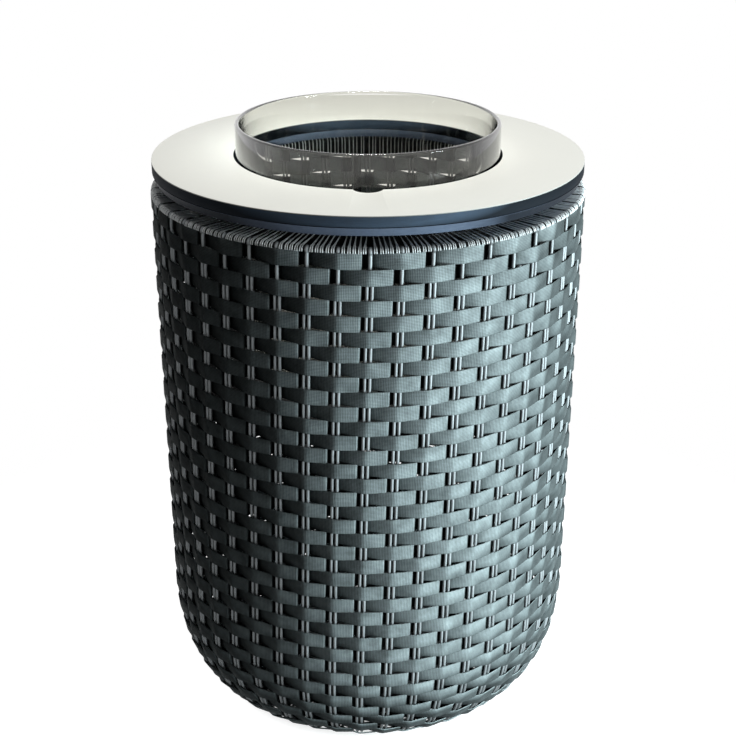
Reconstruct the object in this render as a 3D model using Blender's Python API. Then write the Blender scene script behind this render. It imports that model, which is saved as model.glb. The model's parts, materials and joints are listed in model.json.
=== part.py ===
"""Cooler table: a woven basket on a hidden frame, a lift-off ring tabletop and a clear bucket.

The basket is woven over round bars: a hoop under the rim, a standing band round the mouth, eight
bent uprights, a shelf hoop and a base hoop. Strands wind flat over the rim from the hoop to the
band. The tabletop is a laminate board on an under-ring, and lies loose on the rim on four rubber
pads. The bucket stands on the shelf plate and rises through the board's hole. Metres, +Z up,
origin on the floor at the centre, front towards -Y.
"""

import math

import bmesh
import bpy
from mathutils import Matrix, Vector

# Clearances
SEAT_GAP = 0.0003
ROUND_GAP = 0.0005

# Fineness of the round shapes
STAKE_COUNT = 48
TABLE_STEPS = 60
INNER_HOOP_STEPS = 36
HOOP_SIDES = 8
SHOULDER_STEPS = 2
BEND_STEPS = 2
PAD_STEPS = 12
BORE_STEPS = 8
NOTCH_STEPS = 32

# Basket
TABLE_HEIGHT = 0.554
BASKET_RADIUS = 0.2025
CORNER_REACH = 0.075
CORNER_RISE = 0.120
CORNER_FULLNESS = 2.4
CORNER_STEPS = 7
WEAVE_THICKNESS = 0.006
STRAP_PITCH = 0.01374
STRAP_RELIEF = 0.0027
STAKE_START = math.radians(0.57)
STAKE_LEAN = math.radians(-6.6)
BASE_BORDER = 0.0255

# Rim
STRAND = 0.0024
RIM_WIDTH = 0.0525
SHOULDER_RADIUS = 0.0047
MOUTH_BEND = 0.0055
MOUTH_DROP = 0.024
BAND_THICKNESS = 0.005
BAND_ROUNDING = 0.0022

# Frame
RIM_HOOP_RADIUS = 0.006
UPRIGHT_COUNT = 8
UPRIGHT_RADIUS = 0.005
SHELF_HOOP_RADIUS = 0.005
BASE_HOOP_RADIUS = 0.0063
BRIDGE_WIDTH = 0.014
BRIDGE_THICKNESS = 0.004

# Shelf
PLATE_THICKNESS = 0.003
PLATE_OVERLAP = 0.003
DRAIN_COUNT = 4
DRAIN_RADIUS = 0.005
DRAIN_DISTANCE = 0.022
PAD_COUNT = 4
PAD_RADIUS = 0.012
PAD_HEIGHT = 0.003
PAD_INSET = 0.028

# Glides
GLIDE_COUNT = 4
GLIDE_RADIUS = 0.011
GLIDE_LIFT = 0.004
GLIDE_EASING = 0.0012
GLIDE_STEM_RADIUS = 0.003
GLIDE_STEM_GRIP = 0.008

# Tabletop
BOARD_INSET = 0.0025
BOARD_THICKNESS = 0.010
BOARD_EASING = 0.0008
MOUTH_LEDGE = 0.0249
UNDER_RING_THICKNESS = 0.0075
UNDER_RING_TAPER = 0.003
NOTCH_RADIUS = 0.0132
NOTCH_DEPTH = 0.010
REST_PAD_HEIGHT = 0.008
REST_PAD_RADIUS = 0.009
REST_PAD_DISTANCE = 0.022
BLOCK_COUNT = 4
BLOCK_TURN = math.radians(45)
BLOCK_WIDTH = 0.024
BLOCK_HEIGHT = 0.020
BLOCK_CLEARANCE = 0.0008
BLOCK_DEPTH = 0.012

# Screws
SCREW_RADIUS = 0.002
SCREW_HEAD_RADIUS = 0.004
SCREW_HEAD_HEIGHT = 0.0022
SCREW_BITE = 0.006
SCREW_STEPS = 8
SHELF_SCREW_COUNT = 4

# Bucket
BUCKET_CLEARANCE = 0.0022
BUCKET_WALL = 0.004
BUCKET_FLOOR = 0.005
BUCKET_HEIGHT = 0.225
BUCKET_RISE = 0.0297
BUCKET_EASING = 0.001

# Heights and radii that follow from the sizes above
MOUTH_RADIUS = BASKET_RADIUS - RIM_WIDTH
HOLE_RADIUS = MOUTH_RADIUS - MOUTH_LEDGE
BOARD_RADIUS = BASKET_RADIUS - BOARD_INSET
RING_TOP = TABLE_HEIGHT - BOARD_THICKNESS - SEAT_GAP
RING_BOTTOM = RING_TOP - UNDER_RING_THICKNESS
REST_PAD_TOP = RING_BOTTOM - SEAT_GAP
REST_PAD_CIRCLE = MOUTH_RADIUS + REST_PAD_DISTANCE
RIM_TOP = REST_PAD_TOP - REST_PAD_HEIGHT - SEAT_GAP
SHOULDER_HEIGHT = RIM_TOP - SHOULDER_RADIUS
RIM_HOOP_CIRCLE = BASKET_RADIUS - WEAVE_THICKNESS - ROUND_GAP - RIM_HOOP_RADIUS
RIM_HOOP_HEIGHT = RIM_TOP - STRAND - SEAT_GAP - RIM_HOOP_RADIUS
WEAVE_TOP = SHOULDER_HEIGHT - SEAT_GAP
WEAVE_BOTTOM = GLIDE_LIFT
BASE_MOUTH_RADIUS = BASKET_RADIUS - CORNER_REACH - BASE_BORDER
UPRIGHT_INSET = WEAVE_THICKNESS + ROUND_GAP + UPRIGHT_RADIUS
UPRIGHT_CIRCLE = BASKET_RADIUS - UPRIGHT_INSET
UPRIGHT_TOP = RIM_HOOP_HEIGHT - RIM_HOOP_RADIUS - SEAT_GAP
BASE_HOOP_CIRCLE = BASE_MOUTH_RADIUS + WEAVE_THICKNESS + BASE_HOOP_RADIUS
BASE_HOOP_HEIGHT = WEAVE_BOTTOM + WEAVE_THICKNESS + SEAT_GAP + BASE_HOOP_RADIUS
BAND_INNER = MOUTH_RADIUS + STRAND + ROUND_GAP
BAND_OUTER = BAND_INNER + BAND_THICKNESS
BAND_TOP = RIM_TOP - STRAND - SEAT_GAP
BAND_BOTTOM = RIM_TOP - MOUTH_DROP
BUCKET_BOTTOM = TABLE_HEIGHT + BUCKET_RISE - BUCKET_HEIGHT
BUCKET_RADIUS = HOLE_RADIUS - BUCKET_CLEARANCE
PLATE_TOP = BUCKET_BOTTOM - PAD_HEIGHT - 2 * SEAT_GAP
PLATE_BOTTOM = PLATE_TOP - PLATE_THICKNESS
SHELF_HOOP_HEIGHT = PLATE_BOTTOM - SEAT_GAP - SHELF_HOOP_RADIUS
SHELF_HOOP_CIRCLE = UPRIGHT_CIRCLE - UPRIGHT_RADIUS - ROUND_GAP - SHELF_HOOP_RADIUS
PLATE_RADIUS = SHELF_HOOP_CIRCLE + PLATE_OVERLAP
BLOCK_OUTER = MOUTH_RADIUS - BLOCK_CLEARANCE
HALF_STAKE = math.pi / STAKE_COUNT
HALF_BAY = math.pi / UPRIGHT_COUNT


def clear_scene():
    for thing in list(bpy.data.objects):
        bpy.data.objects.remove(thing)


def finish(name, colour, roughness, metallic=0.0, alpha=1.0):
    """A Principled material of its own for one piece."""
    material = bpy.data.materials.new(name)
    material.use_nodes = True
    shader = material.node_tree.nodes["Principled BSDF"]
    shader.inputs["Base Color"].default_value = (*colour, 1.0)
    shader.inputs["Roughness"].default_value = roughness
    shader.inputs["Metallic"].default_value = metallic
    shader.inputs["Alpha"].default_value = alpha
    return material


def fibre(name):
    return finish(name, (0.075, 0.085, 0.09), 0.5)


def aluminium(name):
    return finish(name, (0.10, 0.105, 0.11), 0.55, metallic=0.3)


def rubber(name):
    return finish(name, (0.02, 0.02, 0.02), 0.8)


def steel(name):
    return finish(name, (0.6, 0.6, 0.6), 0.3, metallic=1.0)


def acrylic(name):
    return finish(name, (0.92, 0.93, 0.92), 0.03, alpha=0.25)


def body_empty(name):
    """The empty that carries the pieces of one body, on the axis along which it lifts."""
    empty = bpy.data.objects.new(name, None)
    bpy.context.collection.objects.link(empty)
    return empty


def place(name, data, material, body, location=(0, 0, 0), turn=0.0):
    """An object for one piece, at its location and turned about the vertical."""
    thing = bpy.data.objects.new(name, data)
    bpy.context.collection.objects.link(thing)
    if not data.materials:
        data.materials.append(material)
    thing.parent = body
    thing.location = location
    thing.rotation_euler.z = turn
    return thing


def place_each(name, data, material, body, spots):
    """Copies of one piece at several places, numbered from 1."""
    for index, (x, y, _) in enumerate(spots):
        place(f"{name}_{index + 1}", data, material, body, (x, y, 0))


def closed_mesh(name, bm, sharp=math.radians(35)):
    """The mesh of a finished bmesh, facing out and shaded smooth up to its sharp edges."""
    bmesh.ops.recalc_face_normals(bm, faces=bm.faces)
    mesh = bpy.data.meshes.new(name)
    bm.to_mesh(mesh)
    bm.free()
    mesh.shade_smooth()
    mesh.set_sharp_from_angle(angle=sharp)
    return mesh


def spin_profile(bm, profile, steps):
    """Spins (radius, height) points about Z. A profile that starts on the axis stays open there.

    All spins start half a stake from +X, so that round pieces lie flat to flat inside each other.
    """
    across, along = math.cos(HALF_STAKE), math.sin(HALF_STAKE)
    corners = [bm.verts.new((radius * across, radius * along, z)) for radius, z in profile]
    pairs = list(zip(corners, corners[1:]))
    if profile[0][0] > 0:
        pairs.append((corners[-1], corners[0]))
    edges = [bm.edges.new(pair) for pair in pairs]
    bmesh.ops.spin(bm, geom=corners + edges, cent=(0, 0, 0), axis=(0, 0, 1),
                   angle=math.tau, steps=steps, use_merge=True)
    bmesh.ops.remove_doubles(bm, verts=bm.verts, dist=1e-6)


def turned(name, profile, steps=STAKE_COUNT):
    bm = bmesh.new()
    spin_profile(bm, profile, steps)
    return closed_mesh(name, bm)


def disc(name, radius, low, high, steps=PAD_STEPS):
    return turned(name, [(0, high), (radius, high), (radius, low), (0, low)], steps)


def turned_group(name, profile, steps, places):
    """One mesh with the same turned solid at several places."""
    bm = bmesh.new()
    spin_profile(bm, profile, steps)
    first = list(bm.verts) + list(bm.edges) + list(bm.faces)
    for spot in places[1:]:
        copy = bmesh.ops.duplicate(bm, geom=first)["geom"]
        moved = [part for part in copy if isinstance(part, bmesh.types.BMVert)]
        bmesh.ops.translate(bm, verts=moved, vec=Vector(spot) - Vector(places[0]))
    bmesh.ops.translate(bm, verts=bm.verts, vec=Vector(places[0]))
    return closed_mesh(name, bm)


def arc(centre, radius, start, end, steps):
    """Points on an arc in the profile plane, with angles in degrees from the radial direction."""
    points = []
    for step in range(steps + 1):
        angle = math.radians(start + (end - start) * step / steps)
        points.append((centre[0] + radius * math.cos(angle), centre[1] + radius * math.sin(angle)))
    return points


def ring_of(count, radius, start=0.0):
    """Places evenly spaced on a circle, the first at an angle of start from +X."""
    angles = [start + math.tau * index / count for index in range(count)]
    return [(radius * math.cos(angle), radius * math.sin(angle), 0) for angle in angles]


def hoop(name, circle, rod, height, steps=INNER_HOOP_STEPS):
    """A round bar bent into a hoop."""
    half_side = 180 / HOOP_SIDES
    section = arc((circle, height), rod, half_side, half_side + 360, HOOP_SIDES)[:-1]
    return turned(name, section, steps)


def cutter(name, mesh):
    """A solid that only cuts others."""
    thing = bpy.data.objects.new(name, mesh)
    bpy.context.collection.objects.link(thing)
    thing.hide_render = True
    thing.display_type = "WIRE"
    return thing


def cut(thing, tool):
    modifier = thing.modifiers.new(tool.name, "BOOLEAN")
    modifier.operation = "DIFFERENCE"
    modifier.object = tool


def cylinder_group(name, radius, low, high, places, steps=BORE_STEPS):
    profile = [(0, high), (radius, high), (radius, low), (0, low)]
    return turned_group(name, profile, steps, [(x, y, 0) for x, y, _ in places])


def corner_point(step, inset):
    """A point of the rounded bottom corner, step 0 at the side and CORNER_STEPS underneath."""
    angle = math.pi / 2 * step / CORNER_STEPS
    across = max(math.cos(angle), 0.0) ** (2 / CORNER_FULLNESS)
    down = math.sin(angle) ** (2 / CORNER_FULLNESS)
    normal = Vector((across ** (CORNER_FULLNESS - 1) / CORNER_REACH,
                     down ** (CORNER_FULLNESS - 1) / CORNER_RISE)).normalized()
    radius = BASKET_RADIUS - CORNER_REACH + CORNER_REACH * across - inset * normal.x
    height = WEAVE_BOTTOM + CORNER_RISE - CORNER_RISE * down + inset * normal.y
    return radius, height


def corner_curve(inset):
    return [corner_point(step, inset) for step in range(CORNER_STEPS + 1)]


def corner_steps_at(run):
    """How many of the corner's steps a run of its outside from the side covers, and its length."""
    step, gone, here = 0.0, 0.0, Vector(corner_point(0, 0.0))
    while gone < run and step < CORNER_STEPS:
        step = min(step + CORNER_STEPS / 400, CORNER_STEPS)
        there = Vector(corner_point(step, 0.0))
        gone += (there - here).length
        here = there
    return step, gone


def side_point(run, inset):
    """A point of the wall a run down its outside from the weave's top, moved in by inset."""
    straight = WEAVE_TOP - WEAVE_BOTTOM - CORNER_RISE
    if run <= straight:
        return BASKET_RADIUS - inset, WEAVE_TOP - run
    return corner_point(corner_steps_at(run - straight)[0], inset)


def wall_rings():
    """Rings of points down the woven outside and back up the plain inside, in one order.

    Each row of strap has a ring at its middle, with a point at each stake: out where the strap
    passes over the stake's cords, and in where it passes behind them. Rows alternate.
    """
    flat_start = math.pi / 2 + HALF_STAKE
    corner_length = corner_steps_at(math.inf)[1]
    side_length = WEAVE_TOP - WEAVE_BOTTOM - CORNER_RISE + corner_length
    rings = [[(BASKET_RADIUS, WEAVE_TOP, -flat_start)] * STAKE_COUNT]
    for row in range(int(side_length / STRAP_PITCH)):
        run = (row + 0.5) * STRAP_PITCH
        start = STAKE_START + STAKE_LEAN * run - math.pi / 2
        places = [side_point(run, 0.0) + (start,), side_point(run, STRAP_RELIEF) + (start,)]
        rings.append([places[(row + stake + 1) % 2] for stake in range(STAKE_COUNT)])
    plain = [(BASKET_RADIUS - CORNER_REACH, WEAVE_BOTTOM), (BASE_MOUTH_RADIUS, WEAVE_BOTTOM),
             (BASE_MOUTH_RADIUS, WEAVE_BOTTOM + WEAVE_THICKNESS)]
    plain += corner_curve(WEAVE_THICKNESS)[::-1] + [(BASKET_RADIUS - WEAVE_THICKNESS, WEAVE_TOP)]
    return rings + [[point + (-flat_start,)] * STAKE_COUNT for point in plain]


def woven_wall_mesh():
    """The wall with its straps' relief. Each cell folds between its two corners that stand out."""
    bm = bmesh.new()
    rings = []
    for ring in wall_rings():
        corners = []
        for stake, (radius, height, start) in enumerate(ring):
            angle = start + math.tau * stake / STAKE_COUNT
            corners.append(bm.verts.new((radius * math.cos(angle), radius * math.sin(angle), height)))
        rings.append(corners)
    for row, (upper, lower) in enumerate(zip(rings, rings[1:] + rings[:1])):
        for stake in range(STAKE_COUNT):
            after = (stake + 1) % STAKE_COUNT
            if row > 0 and (row + stake) % 2 == 0:
                bm.faces.new((upper[stake], lower[stake], lower[after]))
                bm.faces.new((upper[stake], lower[after], upper[after]))
            else:
                bm.faces.new((upper[stake], lower[stake], upper[after]))
                bm.faces.new((upper[after], lower[stake], lower[after]))
    return closed_mesh("basket_wall", bm)


def make_basket_wall(body, glide_bores):
    """The woven side, its rounded corner and the flat that ends round the base mouth."""
    wall = place("basket_wall", woven_wall_mesh(), fibre("basket_wall"), body)
    cut(wall, glide_bores)


def make_rim_wrap(body):
    """The strands wound over the rim: the outer shoulder, the flat top and down into the mouth."""
    shoulder = (BASKET_RADIUS - SHOULDER_RADIUS, SHOULDER_HEIGHT)
    bend = (MOUTH_RADIUS + MOUTH_BEND, RIM_TOP - MOUTH_BEND)
    outside = arc(shoulder, SHOULDER_RADIUS, 0, 90, SHOULDER_STEPS)
    outside += arc(bend, MOUTH_BEND, 90, 180, BEND_STEPS)
    outside.append((MOUTH_RADIUS, BAND_BOTTOM))
    inside = [(MOUTH_RADIUS + STRAND, BAND_BOTTOM)]
    inside += arc(bend, MOUTH_BEND - STRAND, 180, 90, BEND_STEPS)
    inside += arc(shoulder, SHOULDER_RADIUS - STRAND, 90, 0, SHOULDER_STEPS)
    place("rim_wrap", turned("rim_wrap", outside + inside), fibre("rim_wrap"), body)


def make_rim_frame(body):
    """The hoop inside the weave's top, the band round the mouth and the bars that join them."""
    place("rim_hoop", hoop("rim_hoop", RIM_HOOP_CIRCLE, RIM_HOOP_RADIUS, RIM_HOOP_HEIGHT, STAKE_COUNT),
          aluminium("rim_hoop"), body)
    low = BAND_BOTTOM + BAND_ROUNDING
    top_inner = arc((BAND_INNER + BAND_ROUNDING, BAND_TOP - BAND_ROUNDING), BAND_ROUNDING, 180, 90, 1)
    section = [(BAND_INNER, low)] + top_inner + [(BAND_OUTER, BAND_TOP), (BAND_OUTER, low)]
    place("rim_band", turned("rim_band", section), aluminium("rim_band"), body)
    start = BAND_OUTER + SEAT_GAP
    end = RIM_HOOP_CIRCLE - RIM_HOOP_RADIUS - ROUND_GAP
    heights = (RIM_HOOP_HEIGHT - BRIDGE_THICKNESS / 2, RIM_HOOP_HEIGHT + BRIDGE_THICKNESS / 2)
    bar = box_mesh("rim_bridge", (start, end), BRIDGE_WIDTH, heights)
    for index in range(UPRIGHT_COUNT):
        place(f"rim_bridge_{index + 1}", bar, aluminium("rim_bridge"), body,
              turn=HALF_STAKE + math.tau * index / UPRIGHT_COUNT)


def box_mesh(name, reach, width, heights):
    """A bar along +X, from reach[0] to reach[1], centred across."""
    bm = bmesh.new()
    size = (reach[1] - reach[0], width, heights[1] - heights[0])
    middle = (sum(reach) / 2, 0, sum(heights) / 2)
    bmesh.ops.create_cube(bm, size=1.0, matrix=Matrix.Translation(middle) @ Matrix.Diagonal((*size, 1)))
    return closed_mesh(name, bm)


def make_uprights(body):
    """Bars bent to the inside of the weave, from under the rim hoop to the base hoop."""
    curve = bpy.data.curves.new("upright", "CURVE")
    curve.dimensions = "3D"
    curve.bevel_depth = UPRIGHT_RADIUS
    curve.bevel_resolution = 1
    curve.use_fill_caps = True
    path = [(UPRIGHT_CIRCLE, UPRIGHT_TOP)] + corner_curve(UPRIGHT_INSET)
    path.append((BASE_HOOP_CIRCLE + BASE_HOOP_RADIUS + SEAT_GAP, path[-1][1]))
    spline = curve.splines.new("POLY")
    spline.points.add(len(path) - 1)
    for point, (radius, height) in zip(spline.points, path):
        point.co = (radius, 0, height, 1)
    for index in range(UPRIGHT_COUNT):
        place(f"upright_{index + 1}", curve, aluminium("upright"), body,
              turn=HALF_STAKE + math.tau * index / UPRIGHT_COUNT)


def screw_profile(top, grip):
    """A pan-head screw with its head's top at the given height, shank down."""
    under_head = top - SCREW_HEAD_HEIGHT
    return [(0, top), (SCREW_HEAD_RADIUS - SCREW_HEAD_HEIGHT / 2, top),
            (SCREW_HEAD_RADIUS, under_head), (SCREW_RADIUS, under_head),
            (SCREW_RADIUS, under_head - grip), (0, under_head - grip)]


def screw_from_below(name, low, tip):
    """The same screw driven upwards, from its head's low face to its tip."""
    profile = screw_profile(-low, tip - low - SCREW_HEAD_HEIGHT)
    return turned(name, [(radius, -height) for radius, height in profile], SCREW_STEPS)


def make_shelf(body):
    """The hoop inside the uprights, the plate on it, its screws and the pads under the bucket."""
    spots = ring_of(SHELF_SCREW_COUNT, SHELF_HOOP_CIRCLE, HALF_BAY)
    head_top = PLATE_TOP + SEAT_GAP + SCREW_HEAD_HEIGHT
    grip = PLATE_THICKNESS + SCREW_BITE
    bores = cutter("shelf_screw_bores", cylinder_group(
        "shelf_screw_bores", SCREW_RADIUS + SEAT_GAP, PLATE_TOP - grip - SEAT_GAP,
        PLATE_TOP + SCREW_HEAD_HEIGHT, spots))
    rail = place("shelf_hoop", hoop("shelf_hoop", SHELF_HOOP_CIRCLE, SHELF_HOOP_RADIUS,
                                    SHELF_HOOP_HEIGHT), aluminium("shelf_hoop"), body)
    cut(rail, bores)
    sheet = disc("shelf_plate", PLATE_RADIUS, PLATE_BOTTOM, PLATE_TOP, STAKE_COUNT)
    plate = place("shelf_plate", sheet, aluminium("shelf_plate"), body)
    cut(plate, bores)
    drains = ring_of(DRAIN_COUNT, BUCKET_RADIUS + DRAIN_DISTANCE, math.pi / DRAIN_COUNT)
    cut(plate, cutter("drain_bores", cylinder_group(
        "drain_bores", DRAIN_RADIUS, PLATE_BOTTOM - PLATE_THICKNESS, PLATE_TOP + PLATE_THICKNESS,
        drains)))
    screw = turned("shelf_screw", screw_profile(head_top, grip), SCREW_STEPS)
    place_each("shelf_screw", screw, steel("shelf_screw"), body, spots)
    pad_top = PLATE_TOP + SEAT_GAP + PAD_HEIGHT
    pad_bottom = PLATE_TOP + SEAT_GAP
    pad = disc("shelf_pad", PAD_RADIUS, pad_bottom, pad_top)
    place_each("shelf_pad", pad, rubber("shelf_pad"), body, ring_of(PAD_COUNT, BUCKET_RADIUS - PAD_INSET))


def make_base(body):
    """The base hoop and the glides that plug into it through the weave."""
    spots = ring_of(GLIDE_COUNT, BASE_HOOP_CIRCLE, HALF_BAY)
    stem_top = WEAVE_BOTTOM + WEAVE_THICKNESS + SEAT_GAP + GLIDE_STEM_GRIP
    bores = cutter("glide_bores", cylinder_group(
        "glide_bores", GLIDE_STEM_RADIUS + SEAT_GAP, -GLIDE_LIFT, stem_top + SEAT_GAP, spots, PAD_STEPS))
    rail = place("base_hoop", hoop("base_hoop", BASE_HOOP_CIRCLE, BASE_HOOP_RADIUS, BASE_HOOP_HEIGHT),
                 aluminium("base_hoop"), body)
    cut(rail, bores)
    foot_top = GLIDE_LIFT - SEAT_GAP
    profile = [(0, stem_top), (GLIDE_STEM_RADIUS, stem_top), (GLIDE_STEM_RADIUS, foot_top),
               (GLIDE_RADIUS, foot_top), (GLIDE_RADIUS, GLIDE_EASING),
               (GLIDE_RADIUS - GLIDE_EASING, 0), (0, 0)]
    place_each("glide", turned("glide", profile, PAD_STEPS), rubber("glide"), body, spots)
    return bores


def eased_ring(inner, outer, low, high, easing):
    """A ring's section with both its top edges eased."""
    return [(inner, high - easing), (inner + easing, high), (outer - easing, high),
            (outer, high - easing), (outer, low), (inner, low)]


def make_tabletop(body):
    """The board, the ring and rest pads under it, and the screwed blocks that centre it."""
    notch_centre = -(HOLE_RADIUS + NOTCH_DEPTH - NOTCH_RADIUS)
    notch = cutter("finger_notch", cylinder_group(
        "finger_notch", NOTCH_RADIUS, RING_BOTTOM - BOARD_THICKNESS, TABLE_HEIGHT + BOARD_THICKNESS,
        [(0, notch_centre, 0)], NOTCH_STEPS))
    block_spots = ring_of(BLOCK_COUNT, BLOCK_OUTER - BLOCK_DEPTH / 2, BLOCK_TURN)
    bite_top = RING_TOP + SCREW_BITE
    bores = cutter("tabletop_screw_bores", cylinder_group(
        "tabletop_screw_bores", SCREW_RADIUS + SEAT_GAP, RING_BOTTOM - 2 * BLOCK_HEIGHT,
        bite_top + SEAT_GAP, block_spots))

    board_section = eased_ring(HOLE_RADIUS, BOARD_RADIUS, TABLE_HEIGHT - BOARD_THICKNESS,
                               TABLE_HEIGHT, BOARD_EASING)
    board = place("tabletop_board", turned("tabletop_board", board_section, TABLE_STEPS),
                  finish("tabletop_board", (0.84, 0.85, 0.80), 0.35), body)
    ring_section = [(HOLE_RADIUS, RING_TOP), (BOARD_RADIUS, RING_TOP),
                    (BOARD_RADIUS - UNDER_RING_TAPER, RING_BOTTOM), (HOLE_RADIUS, RING_BOTTOM)]
    ring = place("under_ring", turned("under_ring", ring_section, TABLE_STEPS),
                 finish("under_ring", (0.035, 0.045, 0.065), 0.4), body)
    for piece in (board, ring):
        cut(piece, notch)
        cut(piece, bores)
    pad = disc("rest_pad", REST_PAD_RADIUS, REST_PAD_TOP - REST_PAD_HEIGHT, REST_PAD_TOP)
    place_each("rest_pad", pad, rubber("rest_pad"), body,
               ring_of(BLOCK_COUNT, REST_PAD_CIRCLE, BLOCK_TURN))

    block_low = RING_BOTTOM - SEAT_GAP - BLOCK_HEIGHT
    block_mesh = box_mesh("locating_block", (BLOCK_OUTER - BLOCK_DEPTH, BLOCK_OUTER), BLOCK_WIDTH,
                          (block_low, RING_BOTTOM - SEAT_GAP))
    for index in range(BLOCK_COUNT):
        turn = BLOCK_TURN + math.tau * index / BLOCK_COUNT
        block = place(f"locating_block_{index + 1}", block_mesh, rubber("locating_block"), body,
                      turn=turn)
        cut(block, bores)
    head_low = block_low - SEAT_GAP - SCREW_HEAD_HEIGHT
    place_each("block_screw", screw_from_below("block_screw", head_low, bite_top),
               steel("block_screw"), body, block_spots)


def make_bucket(body):
    """The clear tube and the disc glued into its foot."""
    tube = eased_ring(BUCKET_RADIUS - BUCKET_WALL, BUCKET_RADIUS, BUCKET_BOTTOM,
                      BUCKET_BOTTOM + BUCKET_HEIGHT, BUCKET_EASING)
    place("bucket_wall", turned("bucket_wall", tube, TABLE_STEPS), acrylic("bucket_wall"), body)
    floor = disc("bucket_floor", BUCKET_RADIUS - BUCKET_WALL - SEAT_GAP, BUCKET_BOTTOM,
                 BUCKET_BOTTOM + BUCKET_FLOOR, TABLE_STEPS)
    place("bucket_floor", floor, acrylic("bucket_floor"), body)


def main():
    clear_scene()
    basket = body_empty("basket")
    glide_bores = make_base(basket)
    make_basket_wall(basket, glide_bores)
    make_rim_wrap(basket)
    make_rim_frame(basket)
    make_uprights(basket)
    make_shelf(basket)
    make_tabletop(body_empty("tabletop"))
    make_bucket(body_empty("bucket"))


main()
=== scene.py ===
"""Looks of a round cooler table: a woven basket with a clear bucket let into its tabletop.

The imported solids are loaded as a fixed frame. The straps, cords and strands of the weave, the
tabletop and the bucket are built over them, and every solid that stays gets its finish.
"""

import json
import math

import bpy
import numpy as np
from bpy.props import FloatProperty, FloatVectorProperty, IntProperty, PointerProperty
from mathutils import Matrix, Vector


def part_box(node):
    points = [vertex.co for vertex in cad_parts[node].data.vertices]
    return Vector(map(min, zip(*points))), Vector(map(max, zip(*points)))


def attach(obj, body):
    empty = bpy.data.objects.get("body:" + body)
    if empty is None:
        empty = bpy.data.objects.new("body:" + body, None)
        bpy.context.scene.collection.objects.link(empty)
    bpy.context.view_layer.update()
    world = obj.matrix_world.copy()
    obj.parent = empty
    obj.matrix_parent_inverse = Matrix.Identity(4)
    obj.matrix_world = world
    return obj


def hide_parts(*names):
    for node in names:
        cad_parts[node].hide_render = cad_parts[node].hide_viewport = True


bl_info = {
    "name": "Cooler table",
    "version": (1, 0, 0),
    "blender": (4, 5, 0),
    "location": "3D View > Sidebar > Cooler table",
    "description": "Builds the woven wall, the tabletop and the clear bucket of a cooler table",
    "category": "Add Mesh",
}

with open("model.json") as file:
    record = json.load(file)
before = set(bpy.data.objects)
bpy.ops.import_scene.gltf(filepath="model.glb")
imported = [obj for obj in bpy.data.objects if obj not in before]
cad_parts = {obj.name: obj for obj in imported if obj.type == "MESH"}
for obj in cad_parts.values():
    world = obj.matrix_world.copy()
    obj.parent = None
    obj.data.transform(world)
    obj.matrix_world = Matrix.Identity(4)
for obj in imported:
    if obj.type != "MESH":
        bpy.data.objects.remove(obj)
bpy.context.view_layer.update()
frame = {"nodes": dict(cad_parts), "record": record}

TURN = 2 * math.pi
MM = 0.001


def bottom_and_top(node):
    """The heights of the node's lowest and highest point."""
    low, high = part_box(node)
    return low[2], high[2]


def inside_and_outside(node):
    """The smallest and the largest distance of the node's points from the upright axis."""
    points = np.zeros(len(frame["nodes"][node].data.vertices) * 3)
    frame["nodes"][node].data.vertices.foreach_get("co", points)
    away = np.hypot(points[0::3], points[1::3])
    return float(away.min()), float(away.max())


WALL_BOTTOM, WALL_TOP = bottom_and_top("basket_wall")
RIM_BOTTOM, RIM_TOP = bottom_and_top("rim_wrap")
BOARD_BOTTOM, BOARD_TOP = bottom_and_top("tabletop_board")
RING_BOTTOM, RING_TOP = bottom_and_top("under_ring")
BUCKET_BOTTOM, BUCKET_TOP = bottom_and_top("bucket_wall")
BUCKET_FLOOR_TOP = bottom_and_top("bucket_floor")[1]
WALL_INSIDE, WALL_OUTSIDE = inside_and_outside("basket_wall")
RIM_INSIDE = inside_and_outside("rim_wrap")[0]
BOARD_INSIDE, BOARD_OUTSIDE = inside_and_outside("tabletop_board")
BUCKET_OUTSIDE = inside_and_outside("bucket_wall")[1]


# Settings


def length(name, description, default, precision=4):
    """A setting that holds a length in metres."""
    return FloatProperty(
        name=name, description=description, default=default, unit="LENGTH", precision=precision
    )


def slant(name, description, degrees):
    """A setting that holds an angle."""
    return FloatProperty(
        name=name, description=description, default=math.radians(degrees), subtype="ANGLE"
    )


def whole_number(name, description, default, least):
    """A setting that holds a whole number."""
    return IntProperty(name=name, description=description, default=default, min=least)


def tint(name, description, default):
    """A setting that holds a colour."""
    return FloatVectorProperty(
        name=name, description=description, default=default, subtype="COLOR", min=0, max=1
    )


def watts(name, description, default):
    """A setting that holds the power of a lamp."""
    return FloatProperty(name=name, description=description, default=default, unit="POWER")


class COOLER_PG_wall(bpy.types.PropertyGroup):
    """Outline of the woven wall and the lay of its stakes."""

    radius: length("Radius", "Distance from the axis to the outermost strap", WALL_OUTSIDE)
    top: length("Top of the weave", "Height of the upper edge of the first strap", WALL_TOP)
    bottom: length("Underside", "Height of the woven underside above the floor", WALL_BOTTOM)
    corner_reach: length(
        "Corner reach", "How far the rounded corner reaches in from the wall", 0.075
    )
    corner_rise: length(
        "Corner rise", "How far the rounded corner reaches up from the underside", 0.120
    )
    corner_fullness: FloatProperty(
        name="Corner fullness", description="2 is an ellipse, and more is squarer", default=2.4
    )
    base_mouth: length("Base mouth", "Radius of the open mouth in the underside", WALL_INSIDE)
    stakes: whole_number("Stakes", "Number of upright pairs of cords, an even number", 48, 8)
    lean: slant("Lean", "How far round a stake drifts for each metre of its length", -6.6)
    start: slant("Start", "Where the front stake meets the top of the weave", 0.57)


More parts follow.
